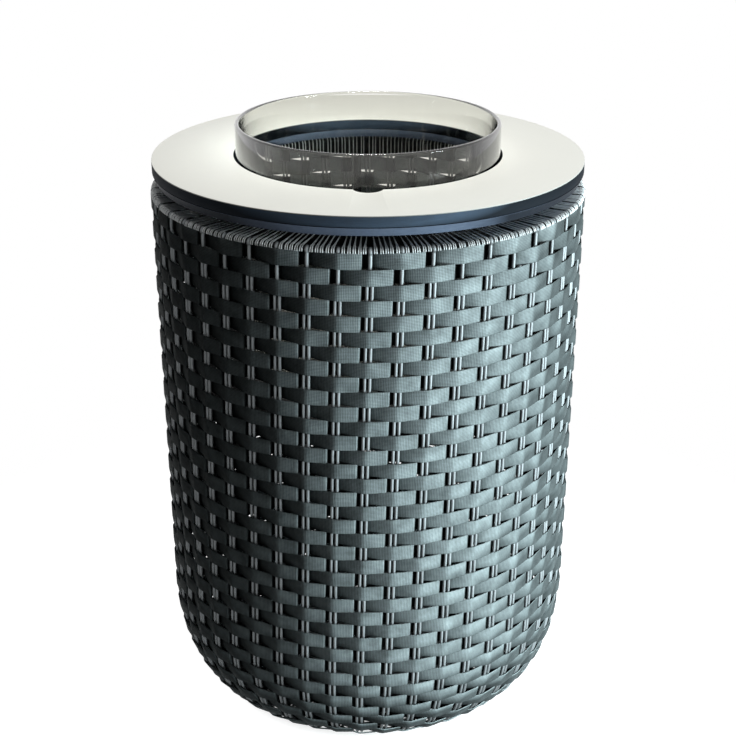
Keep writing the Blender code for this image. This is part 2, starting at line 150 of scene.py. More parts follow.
class COOLER_PG_straps(bpy.types.PropertyGroup):
    """The flat straps that go round the wall."""

    pitch: length("Pitch", "Distance from one row of strap to the next", 0.01374, 5)
    width: length("Width", "Width of the strap where it is level with its neighbours", 0.0138)
    thickness: length("Thickness", "Thickness of the strap", 0.0013)
    depth: length(
        "Depth", "Distance from the outermost strap to the middle of the weave", 0.0032, 5
    )
    samples: whole_number("Samples", "Points along the strap for each stake", 9, 6)
    unevenness: length(
        "Unevenness", "How far the hand-laid strap strays from its line", 0.00025, 5
    )


class COOLER_PG_cords(bpy.types.PropertyGroup):
    """The round cords that stand in the weave."""

    radius: length("Radius", "Radius of each cord of a pair", 0.0016, 5)
    spacing: length("Spacing", "Distance from cord to cord in a pair", 0.0043)
    end_radius: length(
        "End radius", "Radius of the single thick cord in which a pair ends at the rim", 0.00175, 5
    )
    swing: length(
        "Swing", "How far a cord moves out where it shows and in where it is covered", 0.0003, 5
    )


class COOLER_PG_rim(bpy.types.PropertyGroup):
    """The thin strands wound over the rim."""

    top: length("Top", "Height of the rim", RIM_TOP)
    foot: length("Foot", "Height at which the strands end inside the mouth", RIM_BOTTOM + 0.0014)
    mouth: length("Mouth", "Radius of the open mouth of the basket", RIM_INSIDE)
    shoulder: length("Shoulder", "Radius of the bend over the outer edge", 0.0047)
    mouth_bend: length("Mouth bend", "Radius of the bend down into the mouth", 0.0055)
    strand_radius: length("Strand radius", "Radius of one strand", 0.00054, 5)
    strands: whole_number("Strands", "Doubled strands between one stake and the next", 5, 1)
    spread: length(
        "Spread", "Distance between the two ends of a doubled strand at the outer edge", 0.0019
    )


class COOLER_PG_top(bpy.types.PropertyGroup):
    """The tabletop and the ring under it."""

    radius: length("Radius", "Radius of the tabletop", BOARD_OUTSIDE)
    hole: length("Hole", "Radius of the hole for the bucket", BOARD_INSIDE)
    face: length("Face", "Thickness of the pale face layer", 0.001)
    easing: length("Easing", "Rounding of the edges", 0.0005, 5)
    notch_radius: length("Notch radius", "Radius of the finger notch", 0.0132)
    notch_depth: length(
        "Notch depth", "How far the finger notch goes past the edge of the hole", 0.010
    )
    ring_taper: length(
        "Ring taper", "How far the ring under the tabletop draws in towards its lower edge", 0.003
    )
    steps: whole_number("Steps", "Points round the tabletop", 240, 48)


class COOLER_PG_bucket(bpy.types.PropertyGroup):
    """The clear bucket."""

    radius: length("Radius", "Outer radius of the bucket", BUCKET_OUTSIDE)
    wall: length("Wall", "Thickness of the wall", 0.004)
    floor: length("Floor", "Thickness of the floor", BUCKET_FLOOR_TOP - BUCKET_BOTTOM)
    steps: whole_number("Steps", "Points round the bucket", 192, 48)


class COOLER_PG_finish(bpy.types.PropertyGroup):
    """Colours of the finishes."""

    strap: tint("Strap", "Colour of the flat straps", (0.264, 0.302, 0.306))
    cord: tint("Cord", "Colour of the round cords", (0.385, 0.415, 0.428))
    # Painted light: the strands get a near-white colour that stands in for the light on their dark
    # glossy fibre.
    strand: tint("Strand", "Colour of the fine strands wound over the rim", (0.84, 0.87, 0.87))
    laminate: tint("Laminate", "Colour of the tabletop's face", (0.815, 0.820, 0.765))
    core: tint("Core", "Colour of the tabletop's dark core", (0.054, 0.078, 0.112))
    ring: tint("Ring", "Colour of the ring under the tabletop", (0.102, 0.130, 0.184))
    frame_coat: tint("Frame coat", "Colour of the coated metal frame", (0.012, 0.013, 0.014))
    rubber: tint("Rubber", "Colour of the pads and glides", (0.018, 0.018, 0.018))
    steel: tint("Steel", "Colour of the screws", (0.58, 0.57, 0.55))
    clear: tint("Clear", "Tint of the clear bucket", (0.870, 0.865, 0.825))


class COOLER_PG_stage(bpy.types.PropertyGroup):
    """The floor, the light and the camera."""

    camera_distance: length(
        "Camera distance", "Level distance from the camera to the object's axis", 1.2541
    )
    camera_height: length("Camera height", "Height of the camera above the floor", 0.8866)
    camera_tilt: slant("Camera tilt", "How far the camera looks down", 23.806)
    camera_lens: FloatProperty(
        name="Camera lens",
        description="Focal length in millimetres on a 36 mm sensor",
        default=67.3,
        unit="CAMERA",
    )
    overhead_watts: watts("Overhead lamp", "Power of the soft lamp over the table", 18.0)
    window_watts: watts("Window lamp", "Power of the low soft lamp at the right", 26.5)
    fill_watts: watts("Fill lamp", "Power of the small soft lamp at the front", 11.0)
    ambient: FloatProperty(
        name="Ambient", description="Strength of the light from all round", default=0.02
    )


# Meshes


def new_object(name, data):
    """An object for a mesh, a lamp or a camera, in the scene."""
    made = bpy.data.objects.new(name, data)
    bpy.context.scene.collection.objects.link(made)
    return made


def mesh_of(name, points, faces, corner_uv=None, normals=None, tuck=None):
    """A smooth mesh of points and of blocks of faces with the same number of corners.

    corner_uv gives each corner of each face its place on the map, normals gives each point its
    normal, and tuck the painted shade of each point, from 0 at the face to 1 deep in the weave.
    """
    mesh = bpy.data.meshes.new(name)
    counts = np.array([len(block[0]) for block in faces for _ in range(len(block))])
    loops = np.concatenate([np.asarray(block).ravel() for block in faces])
    mesh.vertices.add(len(points))
    mesh.vertices.foreach_set("co", np.asarray(points, np.float32).ravel())
    mesh.loops.add(len(loops))
    mesh.loops.foreach_set("vertex_index", loops.astype(np.int32))
    mesh.polygons.add(len(counts))
    starts = np.concatenate([[0], np.cumsum(counts)[:-1]])
    mesh.polygons.foreach_set("loop_start", starts.astype(np.int32))
    mesh.polygons.foreach_set("use_smooth", np.ones(len(counts), bool))
    if corner_uv is not None:
        layer = mesh.uv_layers.new(name="Lay")
        layer.data.foreach_set("uv", np.asarray(corner_uv, np.float32).ravel())
    mesh.update(calc_edges=True)
    # The painted shade of the tucked-in parts, kept on each point.
    if tuck is not None:
        layer = mesh.attributes.new("Tuck", "FLOAT", "POINT")
        layer.data.foreach_set("value", np.asarray(tuck, np.float32).ravel())
    if normals is not None:
        mesh.normals_split_custom_set_from_vertices(np.asarray(normals, np.float32))
    return mesh


def swept(name, rings, along, across, loop=False, normals=None, tuck=None):
    """A mesh through rings of points, of shape (pieces, rings, corners, 3).

    along holds each ring's distance and across each corner's, one more than there are where the
    sweep or the section closes. An open sweep is capped at both ends.
    """
    pieces, count, sides, _ = rings.shape
    number = np.arange(pieces * count * sides).reshape(pieces, count, sides)
    ahead = np.roll(number, -1, axis=1) if loop else number[:, 1:]
    here = number if loop else number[:, :-1]
    quads = np.stack(
        [here, np.roll(here, -1, axis=2), np.roll(ahead, -1, axis=2), ahead], axis=-1
    ).reshape(-1, 4)
    corner = rings.reshape(-1, 3)[quads]
    doubled = np.cross(corner[:, 2] - corner[:, 0], corner[:, 3] - corner[:, 1])
    inside_out = float((corner.mean(axis=1) * doubled).sum()) < 0
    turn = -1 if inside_out else 1
    spans = here.shape[1]
    u = [np.broadcast_to(along[:, at : at + spans, None], here.shape) for at in (0, 1)]
    v = [np.broadcast_to(across[None, None, at : at + sides], here.shape) for at in (0, 1)]
    maps = [np.stack([u[i], v[j]], -1) for i, j in ((0, 0), (0, 1), (1, 1), (1, 0))]
    faces = [quads[:, ::turn]]
    corner_uv = [np.stack(maps, -2).reshape(-1, 4, 2)[:, ::turn].reshape(-1, 2)]
    if not loop:
        faces += [number[:, 0, ::-turn], number[:, -1, ::turn]]
        for ring in (0, -1):
            cap = np.broadcast_arrays(along[:, ring, None], across[None, :sides])
            corner_uv.append(np.stack(cap, -1).reshape(-1, 2))
    if normals is not None:
        normals = normals.reshape(-1, 3)
    return mesh_of(name, rings.reshape(-1, 3), faces, np.concatenate(corner_uv), normals, tuck)


def unit(vectors):
    """The vectors at length one."""
    return vectors / np.maximum(np.linalg.norm(vectors, axis=-1, keepdims=True), 1e-12)


def lengths_along(lines, closed=False):
    """The length from the start of each line to each of its points, and back for a closed one."""
    if closed:
        lines = np.concatenate([lines, lines[:, :1]], axis=1)
    steps = np.linalg.norm(np.diff(lines, axis=1), axis=-1)
    return np.concatenate([np.zeros((len(lines), 1)), np.cumsum(steps, axis=1)], axis=1)


def turned(radius, angle, height):
    """Points at a radius and height, with the angle measured from the front towards the right."""
    level = np.broadcast_to(height, np.broadcast(radius, angle).shape)
    return np.stack([radius * np.sin(angle), -radius * np.cos(angle), level], axis=-1)


def tubes(name, radius, angle, height, thickness, sides):
    """Round strands along lines given as radius, angle and height, of shape (strands, points)."""
    centres = turned(radius, angle, height)
    forward = unit(np.gradient(centres, axis=1))
    sideways = np.stack([np.cos(angle), np.sin(angle), np.zeros_like(angle)], axis=-1)
    sideways = unit(sideways - forward * (sideways * forward).sum(-1, keepdims=True))
    outward = np.cross(sideways, forward)
    around = (np.arange(sides) * TURN / sides)[:, None]
    thickness = np.broadcast_to(thickness, radius.shape)[:, :, None, None]
    rings = centres[:, :, None] + thickness * (
        np.cos(around) * sideways[:, :, None] + np.sin(around) * outward[:, :, None]
    )
    across = np.arange(sides + 1) * TURN * float(thickness.max()) / sides
    return swept(name, rings, lengths_along(centres), across)


def lathed(name, profile, angles, inner=None):
    """A closed profile of (radius, height) turned about the axis, with a ring at each angle.

    inner, if given, holds a radius for each angle, and a point of the profile with a radius of
    zero or less stands at that radius less its own value.
    """
    profile = np.array(profile)
    radius = np.broadcast_to(profile[:, 0], (len(angles), len(profile)))
    if inner is not None:
        radius = np.where(radius <= 0, inner[:, None] - radius, radius)
    rings = turned(radius, angles[:, None], profile[:, 1])[None]
    along = np.append(angles, angles[0] + TURN)[None] * float(abs(radius).max())
    across = lengths_along(profile[None], closed=True)[0]
    mesh = swept(name, rings, along, across, loop=True)
    mesh.set_sharp_from_angle(angle=math.radians(34))
    return mesh


# The wall's outline


class WallLine:
    """The wall's outline from the top of the weave down, round the corner and in to the mouth."""

    CORNER_POINTS = 241
    # The outline goes on by this much above the weave and past the mouth.
    ABOVE = 0.02
    PAST_MOUTH = 0.01

    def __init__(self, wall):
        turn = np.linspace(0, math.pi / 2, self.CORNER_POINTS)
        power = 2 / wall.corner_fullness
        corner_r = wall.radius - wall.corner_reach * (1 - np.cos(turn).clip(0) ** power)
        corner_z = wall.bottom + wall.corner_rise * (1 - np.sin(turn).clip(0) ** power)
        end = wall.base_mouth - self.PAST_MOUTH
        self.radii = np.concatenate([[wall.radius], corner_r, [end]])
        self.heights = np.concatenate([[wall.top + self.ABOVE], corner_z, [wall.bottom]])
        steps = np.hypot(np.diff(self.radii), np.diff(self.heights))
        self.line = np.concatenate([[-self.ABOVE], np.cumsum(steps) - self.ABOVE])
        in_r = np.gradient(self.radii, self.line)
        in_z = np.gradient(self.heights, self.line)
        size = np.hypot(in_r, in_z)
        self.out_r = -in_z / size
        self.out_z = in_r / size
        underside = wall.radius - wall.corner_reach - wall.base_mouth
        self.length = float(self.line[-2] + underside)

    def point(self, line, out):
        """Radius and height at a length down the wall, moved outward by out."""
        radius = np.interp(line, self.line, self.radii)
        height = np.interp(line, self.line, self.heights)
        out_r = np.interp(line, self.line, self.out_r)
        out_z = np.interp(line, self.line, self.out_z)
        return radius + out * out_r, height + out * out_z


def stake_angle(wall, number, line):
    """Where round the wall a stake is, at a length down it."""
    return number * TURN / wall.stakes + wall.start + wall.lean * line


# The strap's path: the distance in stakes from the pair that it passes behind, and how far it
# stands out from the middle of the weave there, in millimetres. It tucks in close beside the
# pair on one side and leaves a gap on the other.
STRAP_PATH = (
    (-1.0, 2.5), (-0.92, 2.38), (-0.84, 2.22), (-0.60, 1.72), (-0.36, 1.20), (-0.285, 1.0),
    (-0.258, 0.3), (-0.235, -1.9), (-0.21, -2.7), (-0.12, -3.0), (0.0, -2.95), (0.12, -2.6),
    (0.25, -1.85), (0.45, -0.65), (0.65, 0.55), (0.80, 1.46), (0.88, 1.96), (0.94, 2.30),
    (1.0, 2.5),
)
# Where along that path the strap has its points, which crowd where it bends most.
STRAP_SPOTS = (
    -0.285, -0.262, -0.246, -0.232, -0.20, -0.08, 0.12, 0.28, 0.5, 0.70, 0.83, 0.92, 1.0, 1.09,
    1.2, 1.4, 1.58, 1.68,
)
# Painted shade on the strap's tucked-in part, how much it is darkened, by the same distance.
STRAP_TUCK_SHADE = (
    (-1.0, 0.0), (-0.27, 0.0), (-0.25, 1.0), (0.11, 1.0), (0.18, 0.60), (0.40, 0.34),
    (0.70, 0.16), (0.95, 0.0), (1.0, 0.0),
)
# The strap's section, as shares of its width and of half its thickness, and the way that each
# corner faces.
SECTION_ACROSS = np.array([-0.5, -0.5, -0.46, 0.46, 0.5, 0.5, 0.46, -0.46])
SECTION_OUT = np.array([-0.45, 0.45, 1.0, 1.0, 0.45, -0.45, -1.0, -1.0])
FACING_ACROSS = np.array([-0.95, -0.8, -0.2, 0.2, 0.8, 0.95, 0.25, -0.25])
FACING_OUT = np.array([-0.3, 0.6, 1.0, 1.0, 0.6, -0.3, -1.0, -1.0])
# Half the width of a pair of cords, in stakes, and the most that it takes up where the wall
# draws in.
PAIR_HALF = 0.128
PAIR_HALF_MOST = 0.45
# The strap is wider by this where it stands out fully, and narrower where it is tucked in.
STRAP_SWELL = 0.0006
STRAP_OUT_FULLY = 2.5 * MM
# What is left at least between the strap's face and the wall's outline.
STRAP_MARGIN = 0.02 * MM
# The wall's slope is taken over this much to each side.
SLOPE_STEP = 0.0005
# Shifts the map from row to row, so that their ribs don't stand in line.
MAP_SHIFT = 0.0173
# The thick cord at the rim ends in the second row or, at every other stake, in the third, and
# the pair of cords begins there.
FIRST_COVERED_ROW = 1.5
STRAP_SEED, CORD_SEED, RIM_SEED = 400, 7, 19


def smooth_curve(x, table):
    """A smooth curve through a table of points, sampled at x."""
    xs, ys = np.array(table).T
    slopes = np.gradient(ys, xs)
    slopes[0] = slopes[-1] = 0.0
    index = np.clip(np.searchsorted(xs, x) - 1, 0, len(xs) - 2)
    width = xs[index + 1] - xs[index]
    t = (x - xs[index]) / width
    return (
        (2 * t**3 - 3 * t**2 + 1) * ys[index]
        + (t**3 - 2 * t**2 + t) * width * slopes[index]
        + (3 * t**2 - 2 * t**3) * ys[index + 1]
        + (t**3 - t**2) * width * slopes[index + 1]
    )


def drift(random, waves, samples):
    """A slow wander round a loop, one value for each sample, mostly between -1 and 1."""
    rates = np.arange(3, 3 + waves)
    phase = random.uniform(0, TURN, waves)
    size = random.normal(0, 1, waves) / math.sqrt(waves)
    turn = np.arange(samples) * TURN / samples
    return (size[:, None] * np.sin(rates[:, None] * turn[None] + phase[:, None])).sum(0)


def strap_rows(name, wall, straps, first, last):
    """The straps of some rows as one mesh, each a closed loop round the wall."""
    line = WallLine(wall)
    count = wall.stakes * straps.samples
    half = straps.thickness / 2
    section_out = SECTION_OUT * half
    spots = np.interp(
        np.linspace(0, len(STRAP_SPOTS), 2 * straps.samples, endpoint=False),
        np.arange(len(STRAP_SPOTS) + 1),
        np.append(STRAP_SPOTS, 2 + STRAP_SPOTS[0]),
    )
    rows, facings, tucks = [], [], []
    for row in range(first, last):
        random = np.random.default_rng(STRAP_SEED + row)
        centre_line = (row + 0.5) * straps.pitch
        # Places in stakes round the loop. A strap passes behind every other pair.
        places = (np.arange(wall.stakes // 2)[:, None] * 2 + (row % 2) + spots[None, :]).ravel()
        from_pair = np.mod(places - (row % 2) + 1, 2) - 1
        radius_here = float(line.point(centre_line, 0)[0])
        pinch = min(PAIR_HALF_MOST, PAIR_HALF * wall.radius / radius_here)
        ahead = np.abs(from_pair)
        stretched = np.sign(from_pair) * np.where(
            ahead < pinch,
            ahead * PAIR_HALF / pinch,
            PAIR_HALF + (ahead - pinch) * (1 - PAIR_HALF) / (1 - pinch),
        )
        out = smooth_curve(stretched, STRAP_PATH) * MM
        out = out + straps.unevenness * 0.5 * drift(random, 30, count)
        out = np.minimum(out, straps.depth - half - STRAP_MARGIN)
        # Painted shade on the tucked-in part of the strap, kept on its points.
        tucked = np.interp(stretched, *np.array(STRAP_TUCK_SHADE).T)
        tucks.append(np.broadcast_to(tucked[:, None], (count, len(SECTION_OUT))))
        shift = straps.unevenness * drift(random, 20, count)
        breadth = straps.width + STRAP_SWELL * np.clip(out / STRAP_OUT_FULLY, -1, 1)
        at = centre_line + shift[:, None] + breadth[:, None] * SECTION_ACROSS[None, :]
        stand = out[:, None] - straps.depth + section_out[None, :]
        radius, height = line.point(at, stand)
        middle = stake_angle(wall, places, centre_line)[:, None]
        angle = middle + wall.lean * (at - centre_line)
        rings = turned(radius, angle, height)
        forward = unit(np.roll(rings, -1, axis=0) - np.roll(rings, 1, axis=0))
        below = line.point(at + SLOPE_STEP, stand)
        above = line.point(at - SLOPE_STEP, stand)
        down = unit(turned(below[0], angle, below[1]) - turned(above[0], angle, above[1]))
        outward = unit(np.cross(down, forward))
        facing = FACING_ACROSS[None, :, None] * down + FACING_OUT[None, :, None] * outward
        rows.append(rings)
        facings.append(unit(facing))
    rings = np.stack(rows)
    along = lengths_along(rings.mean(axis=2), closed=True)
    along = along + np.arange(first, last)[:, None] * MAP_SHIFT
    profile = np.stack([SECTION_ACROSS * straps.width, section_out], -1)
    across = lengths_along(profile[None], closed=True)[0]
    return swept(
        name, rings, along, across, loop=True, normals=np.stack(facings), tuck=np.stack(tucks)
    )


def first_cover(straps, stakes):
    """The length down the wall at which the first strap covers each stake's pair of cords."""
    return (FIRST_COVERED_ROW + (stakes % 2)) * straps.pitch


def cord_swing(straps, cords, stakes, at):
    """How far the cords stand out where they show, or in where they are covered."""
    return cords.swing * np.cos(math.pi * (at / straps.pitch - 0.5 - stakes[:, None]))


def cord_mesh(wall, straps, cords):
    """The pairs of cords in the weave."""
    short_of_mouth = 0.001
    points_each_row = 2.5
    forward_of_middle = 0.05 * MM
    bends = 14
    wander_size = 0.08 * MM
    line = WallLine(wall)
    stakes = np.arange(wall.stakes)
    start = first_cover(straps, stakes)[:, None]
    share = np.linspace(0, 1, int(points_each_row * line.length / straps.pitch))
    at = start + (line.length - short_of_mouth - start) * share[None, :]
    swing = cord_swing(straps, cords, stakes, at)
    radius, height = line.point(at, swing + forward_of_middle - straps.depth)
    angle = stake_angle(wall, stakes[:, None], at)
    random = np.random.default_rng(CORD_SEED)
    sides = []
    for side in (-0.5, 0.5):
        knots = random.normal(0, wander_size, bends + 1)
        wander = np.interp(at / line.length * bends, np.arange(bends + 1), knots)
        sides.append(angle + (side * cords.spacing + wander) / radius)
    radius, height = np.concatenate([radius, radius]), np.concatenate([height, height])
    return tubes("stake_cords", radius, np.concatenate(sides), height, cords.radius, 6)


def stake_end_mesh(wall, straps, cords, rim):
    """The thick cord in which each stake ends, with its round end bent over the shoulder."""
    thick = cords.end_radius
    # The round end: how far each of its rings stands in and up from the bend, and its size.
    dome_in = np.array([0.0022, 0.0018, 0.0010])
    dome_up = np.array([0.0009, 0.0008, 0.0005])
    dome_size = [0.35, 0.75, 0.95]
    bent_in = math.radians(62)
    turn = np.linspace(bent_in, 0, 4)
    bend = rim.shoulder - thick
    tip_r = wall.radius - thick - bend + bend * np.cos(turn)
    tip_z = rim.top - thick - bend + bend * np.sin(turn)
    stakes = np.arange(wall.stakes)
    down = np.linspace(0.001, 1, 8)[None, :] * first_cover(straps, stakes)[:, None]
    out = cord_swing(straps, cords, stakes, down) - straps.depth
    low_r, low_z = WallLine(wall).point(down, out)
    head = (len(stakes), len(dome_in) + len(turn))
    head_r = np.broadcast_to(np.concatenate([tip_r[0] - dome_in, tip_r]), head)
    head_z = np.broadcast_to(np.concatenate([tip_z[0] + dome_up, tip_z]), head)
    radius = np.concatenate([head_r, low_r], axis=1)
    height = np.concatenate([head_z, low_z], axis=1)
    angle = stake_angle(wall, stakes[:, None], np.concatenate([np.zeros(head), down], 1))
    size = np.ones(radius.shape[1]) * thick
    size[: len(dome_size)] *= dome_size
    return tubes("stake_ends", radius, angle, height, size[None, :], 8)


def rim_line(wall, rim):
    """A strand's line over the rim, from its outer end to its end in the mouth, as two rows."""
    thickness = rim.strand_radius
    outer = wall.radius - thickness
    top = rim.top - thickness
    bend = rim.shoulder - thickness
    inner = rim.mouth + thickness
    curl = rim.mouth_bend - thickness
    after_bend, before_curl, below_curl = 0.006, 0.004, 0.006
    quarter = np.linspace(0, math.pi / 2, 5)
    radii = np.concatenate([
        [outer - 0.5 * MM, outer - 0.1 * MM],
        outer - bend + bend * np.cos(quarter),
        np.linspace(outer - bend - after_bend, inner + curl + before_curl, 4),
        inner + curl - curl * np.sin(quarter),
        [inner, inner],
    ])
    levels = np.concatenate([
        [wall.top + 0.2 * MM, wall.top + 0.9 * MM],
        top - bend + bend * np.sin(quarter),
        [top] * 4,
        top - curl + curl * np.cos(quarter),
        [top - curl - below_curl, rim.foot],
    ])
    return radii, levels


def rim_mesh(wall, rim):
    """The doubled strands wound over the rim, whose two ends spread at the outer edge."""
    fan_start, fan_power = 0.55, 1.6
    # How far the strands stray from even spacing, in stakes, and the most that one may.
    stray_outside, stray_inside, stray_most = 0.018, 0.02, 0.05
    lift_size, lift_start = 0.12 * MM, 0.3
    apart_in_mouth = 0.04 * MM
    under_its_twin = 0.2 * MM
    random = np.random.default_rng(RIM_SEED)
    radii, levels = rim_line(wall, rim)
    share = np.clip((radii - radii.min()) / (radii.max() - radii.min()), 0, 1)
    fan = np.clip((share - fan_start) / (1 - fan_start), 0, 1) ** fan_power
    many = wall.stakes * rim.strands
    number = np.arange(many)
    in_bay = (number % rim.strands + 1) / (rim.strands + 1)
    outer_stray = np.clip(random.normal(0, stray_outside, many), -stray_most, stray_most)
    inner_stray = np.clip(random.normal(0, stray_inside, many), -stray_most, stray_most)
    step = TURN / wall.stakes
    outer_angle = (number // rim.strands + in_bay + outer_stray) * step + wall.start
    inner_angle = ((number + 0.5) / rim.strands + inner_stray) * step + wall.start
    middle = inner_angle[:, None] + (outer_angle - inner_angle)[:, None] * share[None]
    lift = np.abs(random.normal(0, lift_size, (many, 2))[:, :1]) * (share > lift_start)
    angles, heights = [], []
    for side, sink in ((-0.5, 0.0), (0.5, under_its_twin)):
        spread = side * rim.spread * fan[None] / radii[None]
        apart = side * apart_in_mouth * (1 - fan[None]) / radii[None]
        angles.append(middle + spread + apart)
        heights.append(levels[None] - sink * (1 - fan[None]) - lift)
    angle = np.concatenate(angles)
    radius = np.broadcast_to(radii, angle.shape)
    return tubes("rim_strands", radius, angle, np.concatenate(heights), rim.strand_radius, 6)


def hole_outline(top):
    """Angles round the hole and the radius of its edge at each, with the finger notch in front."""
    points_near, margin = 97, 1.25
    # The corners between the notch and the hole are rounded by about this much.
    soft = 0.0009
    middle = top.hole + top.notch_depth - top.notch_radius
    reach = math.asin(min(1, top.notch_radius / middle)) * margin
    near = np.linspace(-reach, reach, points_near)
    far = np.linspace(reach, TURN - reach, top.steps - points_near + 1)[1:-1]
    angles = np.concatenate([near, far])
    inside = np.maximum(top.notch_radius**2 - (middle * np.sin(near)) ** 2, 0)
    scoop = middle * np.cos(near) + np.sqrt(inside)
    clear_of_edge = top.hole - 0.002
    scoop = np.where(inside > 0, scoop, clear_of_edge)
    edge = 0.5 * (scoop + top.hole + np.sqrt((scoop - top.hole) ** 2 + soft**2)) - 0.5 * soft
    radius = np.full(len(angles), top.hole)
    radius[:points_near] = np.maximum(edge, top.hole)
    return angles, radius


def plate_mesh(name, top, low, high, taper, ease_low, ease_high):
    """A flat ring with the hole's outline, eased edges and a rim that may draw in downwards."""
    angles, inner = hole_outline(top)
    outer = top.radius
    # How far the middle of an eased edge stands from both faces, as a share of the easing.
    bow = 0.29
    profile = [
        (outer - ease_high, high),
        (outer - bow * ease_high, high - bow * ease_high),
        (outer, high - ease_high),
        (outer - taper, low + ease_low),
        (outer - taper - bow * ease_low, low + bow * ease_low),
        (outer - taper - ease_low, low),
        (-ease_low, low),
        (-bow * ease_low, low + bow * ease_low),
        (0.0, low + ease_low),
        (0.0, high - ease_high),
        (-bow * ease_high, high - bow * ease_high),
        (-ease_high, high),
    ]
    return lathed(name, profile, angles, inner)


def bucket_mesh(bucket):
    """The clear bucket as one closed form, with a round lip and a rounded inner corner."""
    low, high = BUCKET_BOTTOM, BUCKET_TOP
    outer = bucket.radius
    inner = outer - bucket.wall
    half = bucket.wall / 2
    floor = low + bucket.floor
    foot = 0.0015
    cove = 0.002
    centre = 0.0004
    quarter = np.linspace(0, math.pi / 2, 4)
    lip = np.linspace(0, math.pi, 9)
    profile = [
        (centre, low),
        *((outer - foot + foot * math.sin(a), low + foot - foot * math.cos(a)) for a in quarter),
        *((outer - half + half * math.cos(a), high - half + half * math.sin(a)) for a in lip),
        *((inner - cove + cove * math.cos(a), floor + cove - cove * math.sin(a)) for a in quarter),
        (centre, floor),
    ]
    return lathed("bucket_shell", profile, np.arange(bucket.steps) * TURN / bucket.steps)


# Nodes


def connect(tree, socket, value):
    """Link a socket to the input, or set the value on it."""
    if isinstance(value, bpy.types.NodeSocket):
        tree.links.new(value, socket)
    else:
        socket.default_value = value


def wire(tree, node, **inputs):
    """Give a node its inputs by name, with an underline for each space."""
    for name, value in inputs.items():
        connect(tree, node.inputs[name.replace("_", " ")], value)


def add(tree, kind, settings=None, **inputs):
    """A new node in the tree, with its settings and its inputs by name."""
    made = tree.nodes.new(kind)
    for key, value in (settings or {}).items():
        setattr(made, key, value)
    wire(tree, made, **inputs)
    return made


def maths(tree, operation, *values):
    """The output of a Math node."""
    made = add(tree, "ShaderNodeMath", {"operation": operation})
    for socket, value in zip(made.inputs, values):
        connect(tree, socket, value)
    return made.outputs[0]


def times(tree, *factors):
    """The product of all the factors."""
    product = factors[0]
    for factor in factors[1:]:
        product = maths(tree, "MULTIPLY", product, factor)
    return product


def ranged(tree, value, low, high, to_low, to_high):
    """A value moved from one range to another, kept inside it."""
    made = add(
        tree, "ShaderNodeMapRange", {"clamp": True},
        Value=value, From_Min=low, From_Max=high, To_Min=to_low, To_Max=to_high,
    )
    return made.outputs["Result"]


def mixed(tree, factor, first, second, blend="MIX"):
    """The output of a colour Mix node."""
    made = add(tree, "ShaderNodeMix", {"data_type": "RGBA", "blend_type": blend})
    for number, value in ((0, factor), (6, first), (7, second)):
        connect(tree, made.inputs[number], value)
    return made.outputs[2]


def noise(tree, vector, scale, detail, roughness=0.5):
    """The value of a noise texture."""
    made = add(
        tree, "ShaderNodeTexNoise", Vector=vector, Scale=scale, Detail=detail, Roughness=roughness
    )
    return made.outputs[0]


def parts_of(tree, vector):
    """The X, Y and Z of a vector."""
    return add(tree, "ShaderNodeSeparateXYZ", Vector=vector).outputs


def bump(tree, height, strength, distance):
    """A Bump node's normal."""
    made = add(tree, "ShaderNodeBump", Height=height, Strength=strength, Distance=distance)
    return made.outputs["Normal"]


def scaled(tree, colour, shade):
    """A colour with its brightness scaled by a value."""
    made = add(tree, "ShaderNodeVectorMath", {"operation": "SCALE"}, Scale=shade)
    made.inputs[0].default_value = colour
    return made.outputs[0]


def side_on(tree):
    """How far the surface turns from the view, from 0 facing it to 1 along it."""
    return add(tree, "ShaderNodeLayerWeight", Blend=0.5).outputs["Facing"]


def seen_rays(tree):
    """One for what the camera sees, straight or in metal or glass, and zero for other light."""
    path = add(tree, "ShaderNodeLightPath").outputs
    seen = maths(tree, "MAXIMUM", path["Is Camera Ray"], path["Is Glossy Ray"])
    return maths(tree, "MAXIMUM", seen, path["Is Transmission Ray"])


def layered(tree, factor, first, second, output):
    """Lead a mix of two shaders to the tree's output."""
    both = add(tree, "ShaderNodeMixShader")
    for socket, value in zip(both.inputs, (factor, first.outputs[0], second.outputs[0])):
        connect(tree, socket, value)
    wire(tree, tree.nodes[output], Surface=both.outputs[0])


# Shared effects


def new_group(name, maker, values):
    """A shader node group with a vector and values for inputs, wired by its maker.

    The maker takes the group and its inputs, and gives its outputs by name.
    """
    group = bpy.data.node_groups.new(name, "ShaderNodeTree")
    new_socket = group.interface.new_socket
    new_socket(name="Vector", in_out="INPUT", socket_type="NodeSocketVector")
    for label, value in values.items():
        socket = new_socket(name=label, in_out="INPUT", socket_type="NodeSocketFloat")
        socket.default_value = value
    outputs = maker(group, group.nodes.new("NodeGroupInput").outputs)
    for label in outputs:
        new_socket(name=label, in_out="OUTPUT", socket_type="NodeSocketFloat")
    wire(group, group.nodes.new("NodeGroupOutput"), **outputs)
    return group


def grain(group, given):
    """Fine mottle of a moulded or coated surface: a shade about one, and a height."""
    height = noise(group, given["Vector"], given["Scale"], 3.0, 0.6)
    wide = times(group, maths(group, "SUBTRACT", height, 0.5), given["Contrast"])
    return {"Shade": maths(group, "MULTIPLY_ADD", wide, 3.0, 1.0), "Height": height}


